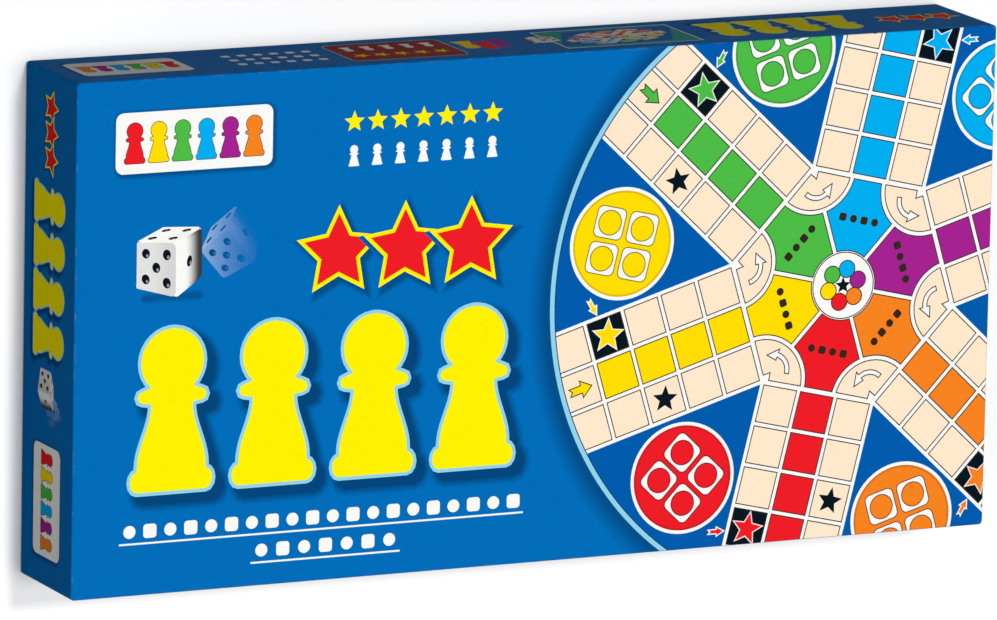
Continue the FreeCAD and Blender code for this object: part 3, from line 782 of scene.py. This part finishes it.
def makeLeaf(leaf, upward, material):
    low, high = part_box("board_face_" + leaf)
    top, bottom = [z / mm for z in ((high.z, low.z) if upward else (low.z, high.z))]
    foldLine, middle, paper = high.y / mm, (low.y + high.y) / 2 / mm, ink("paper")
    side = -1 if upward else 1  # the upper leaf lies face down
    region = slab(0, side * fieldDepth / 2, fieldWidth, fieldDepth)
    shapes = [(clipped(points, region), colour) for points, colour in fieldPrint()]
    faces, rims = [], {}
    for corners, colour in painted(region, shapes):
        spots = [(p[0], foldLine - side * p[1], top) for p in corners]
        faces.append((spots, colour or ink("blue")))
        for a, b in sidesOf(spots):
            key = tuple(sorted((round(p[0], 4), round(p[1], 4)) for p in (a, b)))
            rims[key] = None if key in rims else (a, b)
    # cut edges and glued back follow the print's own border points
    edge = [pair for pair in rims.values() if pair]
    for a, b in edge:
        faces.append(([a, b, (b[0], b[1], bottom), (a[0], a[1], bottom)], paper))
    order = sorted((a for a, b in edge), key=lambda p: math.atan2(p[1] - middle, p[0]))
    faces.append(([(p[0], p[1], bottom) for p in order], paper))
    return buildPiece("board_print_" + leaf, faces, material, "board_" + leaf,
                      "board_face_" + leaf)


def foldStretches(shapes, left, right, least=0.1):
    # stretches of x along the fold, each with the ink printed last over it
    spans = []
    for points, colour in shapes:
        crossings = sorted(a[0] + (b[0] - a[0]) * a[1] / (a[1] - b[1])
                           for a, b in sidesOf(points) if (a[1] < 0) != (b[1] < 0))
        spans += [(*ends, colour) for ends in zip(crossings[::2], crossings[1::2])]
    cuts = {round(x, 3) for span in spans for x in span[:2] if left + least < x < right - least}
    cuts = [left, *sorted(cuts), right]
    stretches = []
    for start, end in zip(cuts, cuts[1:]):
        shown = [colour for low, high, colour in spans if low < (start + end) / 2 < high]
        stretches.append((start, end, shown[-1] if shown else ink("blue")))
    return stretches


def tube(section, x0, x1):
    return band([(x0, *p) for p in section], [(x1, *p) for p in section])


def sheetEnds(front, back, ends):
    # cut edges of a bent sheet, between its front and its back
    pairs = list(zip(front, reversed(back)))
    return [([(x, *a), (x, *c), (x, *d), (x, *b)], ink("paper"))
            for x in ends for (a, b), (c, d) in zip(pairs, pairs[1:])]


def makeFold(material):
    # printed paper bent round the fold
    low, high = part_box("board_fold")
    left, right = low.x / mm, high.x / mm
    axisY, axisZ = low.y / mm, (low.z + high.z) / 2 / mm
    outer = (high.z - low.z) / 2 / mm
    inner = outer - fieldLook["paper"]
    steps, paper = fieldLook["foldSteps"], ink("paper")
    front, back = arc(axisY, axisZ, outer, -90, 90, steps), arc(axisY, axisZ, inner, 90, -90, steps)
    faces = sheetEnds(front, back, (left, right))
    for x0, x1, colour in foldStretches(fieldPrint(), left, right):
        faces += [(quad, colour if 0 < i <= steps else paper)
                  for i, quad in enumerate(tube(front + back, x0, x1))]
    strip = buildPiece("board_fold_strip", faces, material, None, "board_fold")
    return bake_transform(strip)


# Offset print on matt board paper: the lid's inks and grain, a little less rubbed
fieldPaper = printedPaper("boardPaperOffsetMatt", fieldLow, fieldHigh, fieldLook["rub"])
lowerLeaf = makeLeaf("lower", True, fieldPaper)
upperLeaf = makeLeaf("upper", False, fieldPaper)
makeFold(fieldPaper)
print("board:", len(lowerLeaf.data.polygons) + len(upperLeaf.data.polygons), "faces")


# Injection-moulded polystyrene: clear bright colour, hard gloss, slight flow marks, dull scuffs
plasticLook = {
    "ior": 1.59, "rough": (0.16, 0.30), "flow": (5.0, 2.0, 0.5, 0.6), "flowShade": 0.82,
    "scuff": (0.8, 4.0), "scuffSpan": (0.35, 0.7), "relief": (0.2, 0.02),
    "green": "#2E9E35", "cyan": "#0093D6", "purple": "#84208A", "orange": "#EF7414",
    "red": "#DA1A22", "yellow": "#FBD60B", "white": "#F1F0EA", "pip": "#141414",
}
unprinted = [1.0] * 4


def mouldedPlastic(name, colour, inked=False):
    look = plasticLook
    material, tree, shader, place = newMaterial(name, {"IOR": look["ior"]})
    spot, clear = place["Object"], hexToLinear(colour)
    flow = noise(tree, spot, *look["flow"])
    scuff = noise(tree, spot, *look["scuff"])
    deep = [c * look["flowShade"] for c in clear[:3]] + [1.0]
    mixed = mixColour(tree, remap(tree, flow, noiseSpan), deep, clear)
    if inked:
        printed = addNode(tree, "Attribute", attribute_name="ink").outputs["Color"]
        mixed = mixColour(tree, 1.0, mixed, printed, "MULTIPLY")
    rough = remap(tree, scuff, look["scuffSpan"], look["rough"])
    dress(tree, shader, mixed, rough, flow, look["relief"])
    return material


# tokens: solid cones on a round foot
tokenLook = {
    "radius": 7.0, "foot": 2.0, "edge": 0.4, "edgeTurns": (0, 0.35, 0.7, 1.1, 1.5708), "flat": 1.2,
    "step": 1.0, "fillet": 0.5, "filletBend": (0.5, 0.12, 0.16), "coneSteps": (0.25, 0.5, 0.75),
    "height": 28.0, "tip": 2.0, "tipSteps": 8, "turns": 48, "smooth": 40,
}


def tokenOutline(look):
    # half outline from the middle of the foot to the tip
    radius, foot, edge, tip = [look[k] for k in ("radius", "foot", "edge", "tip")]
    cone, middle, inner = radius - look["step"], look["height"] - tip, radius - edge
    reach = math.hypot(cone, middle - foot)
    heading = math.atan2(middle - foot, -cone) - math.asin(tip / reach)
    outline = [(0, 0), (inner - look["flat"], 0)]
    outline += [(inner + edge * math.cos(a), edge - edge * math.sin(a)) for a in reversed(look["edgeTurns"])]
    outline += [(inner + edge * math.cos(a), foot - edge + edge * math.sin(a)) for a in look["edgeTurns"]]
    # small moulded fillet where the cone leaves the foot
    f, out, up = look["fillet"], math.cos(heading), math.sin(heading)
    start, dent, rise = look["filletBend"]
    outline += [(cone + f * start, foot), (cone + f * dent * out, foot + f * rise),
                (cone + f * out, foot + f * up)]
    touch = math.sqrt(reach * reach - tip * tip)
    outline += [(cone + t * touch * out, foot + t * touch * up) for t in look["coneSteps"]]
    outline += arc(0, middle, tip, math.degrees(heading) - 90, 90, look["tipSteps"])
    outline[-1] = (0, look["height"])
    return outline


def makeTokens():
    look, outline = tokenLook, tokenOutline(tokenLook)
    for colour in ("green", "cyan", "purple", "orange", "red", "yellow"):
        plastic = mouldedPlastic("polystyreneMoulded_" + colour, plasticLook[colour])
        for number in range(1, 5):
            name = f"token_{colour}_{number}"
            low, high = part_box(name)
            x, y, z = (low.x + high.x) / 2 / mm, (low.y + high.y) / 2 / mm, low.z / mm
            rings = [[(px, py, z + up) for px, py in disc(x, y, out, look["turns"])] for out, up in outline]
            faces = [(list(dict.fromkeys(quad)), unprinted)
                     for pair in zip(rings, rings[1:]) for quad in band(*pair)]
            buildPiece(f"cone_{colour}_{number}", faces, plastic, name, name,
                       look["smooth"])


# die: moulded cube with round edges, its dimples filled with black paint
# each side has its outward direction and its pips
dieLook = {
    "round": 1.6, "roundSteps": 5, "pip": 1.2, "depth": 0.5, "spread": 3.7,
    "rings": (1.0, 0.8, 0.55, 0.28), "smooth": 30,
    "sides": {(0, 0, 1): 5, (0, 0, -1): 2, (0, -1, 0): 4, (0, 1, 0): 3, (1, 0, 0): 1, (-1, 0, 0): 6},
}


def makeDie():
    look = dieLook
    low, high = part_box("die")
    centre, half = (low + high) / 2 / mm, (high.x - low.x) / 2 / mm
    flat, white, black = half - look["round"], unprinted, hexToLinear(plasticLook["pip"])
    faces = []
    for normal, count in look["sides"].items():
        n, u = Vector(normal), Vector((0, 1, 0) if normal[0] else (1, 0, 0))
        v = n.cross(u)
        pips = [(a * look["spread"], b * look["spread"]) for a, b in pipPlaces[count]]
        shapes = [(disc(*pip, look["pip"] * share, 28), black) for pip in pips for share in look["rings"]]
        for corners, colour in painted(slab(0, 0, 2 * flat, 2 * flat), shapes):
            spots = []
            for p in corners:
                away = min(math.dist(p, pip) for pip in pips) / look["pip"]
                sunk = look["depth"] * max(1 - away * away, 0.0)
                spots.append(centre + n * (half - sunk) + u * p[0] + v * p[1])
            faces.append((spots, colour or white))

    # round edges and corners as patches of a ball moved out to each corner of the flats
    def bent(direction, signs, shift=0):
        # the three axes may be shifted round, x to y to z
        d = Vector(direction).normalized() * look["round"]
        spot = [sign * (flat + part) for sign, part in zip(signs, d)]
        return centre + Vector(spot[-shift:] + spot[:-shift])
    steps = look["roundSteps"]
    turns = [math.pi / 2 * i / steps for i in range(steps + 1)]
    bands = list(zip(turns, turns[1:]))
    for sx, sy in quarters:
        for a, b in bands:
            for shift in range(3):
                ends = ((a, -1), (b, -1), (b, 1), (a, 1))
                faces.append(([bent((math.cos(t), math.sin(t), 0), (sx, sy, sz), shift)
                               for t, sz in ends], white))
            for sz in (-1, 1):
                for g, h in bands:
                    quad = [bent((math.cos(t) * math.cos(p), math.sin(t) * math.cos(p), math.sin(p)),
                                 (sx, sy, sz)) for t, p in ((a, g), (b, g), (b, h), (a, h))]
                    faces.append((quad[:3] if h == turns[-1] else quad, white))
    material = mouldedPlastic("polystyreneMouldedWhite", plasticLook["white"], True)
    return buildPiece("die_cube", faces, material, "die", "die", look["smooth"])


makeTokens()
print("tokens done")
print("die:", len(makeDie().data.polygons), "faces")


# Uncoated leaflet paper, folded once: soft white, slightly rough, printed with a small track and
# ruled lines
leafletLook = {
    "sheet": 0.2, "foldSteps": 8, "rub": 0.0, "drawingX": -52,
    "arms": (((22, 0, 26, 9), "line"), ((22, 0, 25, 8), "paper"), ((20, 0, 28, 2.6), None)),
    "yardOut": 26, "yard": 5.5,
    "lines": (13, 39, -6.4), "lineLeft": -2, "lineLengths": (84, 84, 84, 52), "line": 1.3,
}


def leafletPrint(look):
    shapes, x = [], look["drawingX"]
    for angle, colour in trackLook["arms"].items():
        shapes += [(turned(slab(*bar), angle, x, 0), ink(paint or colour)) for bar, paint in look["arms"]]
        yard = turned([(look["yardOut"], 0)], angle - 30, x, 0)[0]
        shapes.append((disc(*yard, look["yard"], 20), ink(colour)))
    for i, level in enumerate(row(*look["lines"])):
        length = look["lineLengths"][i % 4]
        shapes.append((slab(look["lineLeft"] + length / 2, level, length, look["line"]), ink("grey")))
    return shapes


def makeLeaflet():
    look, paper = leafletLook, ink("paper")
    low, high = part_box("rules_leaflet")
    x0, x1, y0, y1, z0, z1 = [v / mm for v in (low.x, high.x, low.y, high.y, low.z, high.z)]
    thick, steps, outer = look["sheet"], look["foldSteps"], (z1 - z0) / 2
    midZ, bendY = (z0 + z1) / 2, y0 + outer
    front = [(y1, z1)] + arc(bendY, midZ, outer, 90, 270, steps) + [(y1, z0)]
    back = [(y1, z0 + thick)] + arc(bendY, midZ, outer - thick, 270, 90, steps) + [(y1, z1 - thick)]
    # all round but for the upper page, which takes the print
    faces = [(quad, paper) for i, quad in enumerate(tube(front + back, x0, x1)) if i != 1]
    faces += sheetEnds(front, back, (x0, x1))
    midX, midY = (x0 + x1) / 2, (bendY + y1) / 2
    for corners, colour in painted(slab(0, 0, x1 - x0, y1 - bendY), leafletPrint(look)):
        faces.append(([(midX + p[0], midY + p[1], z1) for p in corners], colour or paper))
    material = printedPaper("leafletPaperUncoated", low, high, look["rub"])
    return buildPiece("leaflet_folded", faces, material, "leaflet", "rules_leaflet")


print("leaflet:", len(makeLeaflet().data.polygons), "faces")


# studio: floor in matt white paint, even, which throws little light back;
# soft light from above, weak fills from the left and from the front right
# each lamp has its strength, its spread and its turn about x, y and z in degrees
stageLook = {
    "floor": "#F8F8F8", "floorRough": 0.9, "floorIor": 1.45, "floorReach": 24.0, "floorLevel": -0.1,
    "floorBounce": 0.05, "floorGlow": 0.10, "ambient": 0.07,
    "lamps": {"keyLight": (1.53, 15.0, (-1.0, 3.0, 0.0)), "backLight": (1.00, 6.0, (-15.5, 5.0, 0.0)),
              "leftFill": (0.86, 60.0, (0.0, -68.0, 0.0)), "frontFill": (0.54, 60.0, (0.0, 70.0, -45.0))},
}


def makeFloor(look):
    mesh = bpy.data.meshes.new("floor")
    reach, level = look["floorReach"], look["floorLevel"] * mm
    mesh.from_pydata([(x, y, level) for x, y in slab(0, 0, reach, reach)], [], [(0, 1, 2, 3)])
    floor = addObject("floor", mesh)
    sockets = {"Roughness": look["floorRough"], "IOR": look["floorIor"], "Emission Color": (1, 1, 1, 1)}
    material, tree, shader, place = newMaterial("paintedFloorMatt", sockets)
    seen = addNode(tree, "LightPath").outputs
    straight = compute(tree, "ADD", seen["Is Camera Ray"], seen["Is Glossy Ray"])
    shown = compute(tree, "ADD", straight, seen["Is Transmission Ray"], use_clamp=True)
    dull = [look["floorBounce"]] * 3 + [1.0]
    tint = mixColour(tree, shown, dull, look["floor"])
    tree.links.new(tint, shader.inputs["Base Color"])
    glow = compute(tree, "MULTIPLY", shown, look["floorGlow"])
    tree.links.new(glow, shader.inputs["Emission Strength"])
    mesh.materials.append(material)


def makeLight(look):
    for name, (strength, spread, turns) in look["lamps"].items():
        data = bpy.data.lights.new(name, "SUN")
        data.energy, data.angle = strength, math.radians(spread)
        addObject(name, data).rotation_euler = [math.radians(a) for a in turns]
    scene.world = bpy.data.worlds.new("studio")
    scene.world.use_nodes = True
    tree = scene.world.node_tree
    tree.nodes.clear()
    seen = addNode(tree, "LightPath").outputs["Is Camera Ray"]
    level = remap(tree, seen, target=(look["ambient"], 1.0))
    back = addNode(tree, "Background", {"Color": (1, 1, 1, 1), "Strength": level})
    addNode(tree, "OutputWorld", {"Surface": back.outputs[0]})


# camera fitted to the box's seven visible corners
cameraLook = {
    "place": (-1.7165, 0.8187, 3.6647), "forward": (0.41665, -0.20051, -0.88668),
    "up": (0.06713, 0.97949, -0.18996), "lens": 403.26, "sensor": 36.0, "clip": (0.05, 100.0),
}


def makeCamera(look):
    data = bpy.data.cameras.new("photoCamera")
    data.lens, data.sensor_width, data.sensor_fit = look["lens"], look["sensor"], "HORIZONTAL"
    data.clip_start, data.clip_end = look["clip"]
    camera = addObject("photoCamera", data)
    back = -Vector(look["forward"]).normalized()
    right = Vector(look["up"]).cross(back).normalized()
    turn = Matrix((right, back.cross(right), back)).transposed().to_4x4()
    camera.matrix_world = Matrix.Translation(look["place"]) @ turn
    scene.camera = camera


makeFloor(stageLook)
makeLight(stageLook)
makeCamera(cameraLook)
scene.view_settings.view_transform = "Standard"
print("stage done")
